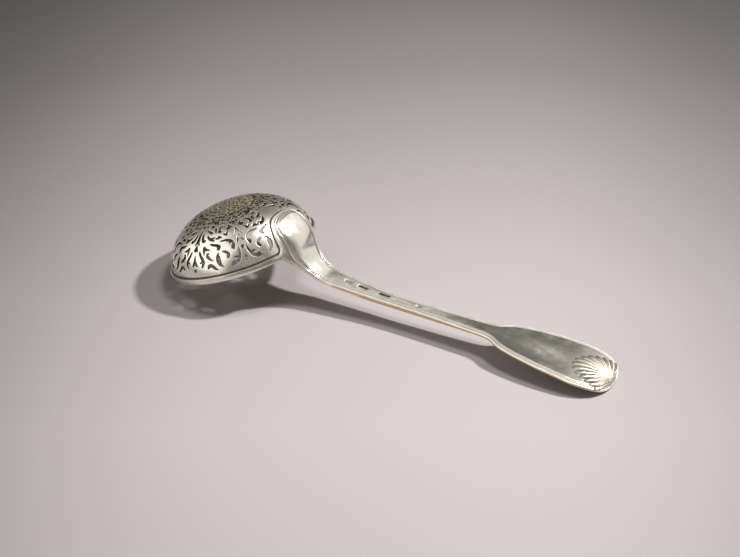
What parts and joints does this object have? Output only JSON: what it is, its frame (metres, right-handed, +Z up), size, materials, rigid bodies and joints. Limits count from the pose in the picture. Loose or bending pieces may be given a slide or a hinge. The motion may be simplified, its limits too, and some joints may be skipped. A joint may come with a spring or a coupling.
{
  "type": "sifter spoon",
  "caption": "Silver sifter spoon with a deep pierced round bowl, a plain band round its mouth and a threaded fiddle handle that ends in a shell.",
  "frame": {"origin": "under the middle of the spoon, on the surface that it lies on, mouth down", "axes": "+X along the spoon from the bowl to the tip of the handle, +Z up from the surface that it rests on, and y = 0 is its plane of symmetry"},
  "size_m": [0.206, 0.0662, 0.0361],
  "materials": {
    "bowl_silver": "aged polished silver, gilt inside",
    "mount_silver": "aged polished silver",
    "handle_silver": "aged polished silver with fine scratches"
  },
  "bodies": {
    "root": {"pierced_bowl": "bowl_silver", "rim_mount": "mount_silver", "handle": "handle_silver"}
  },
  "joints": []
}
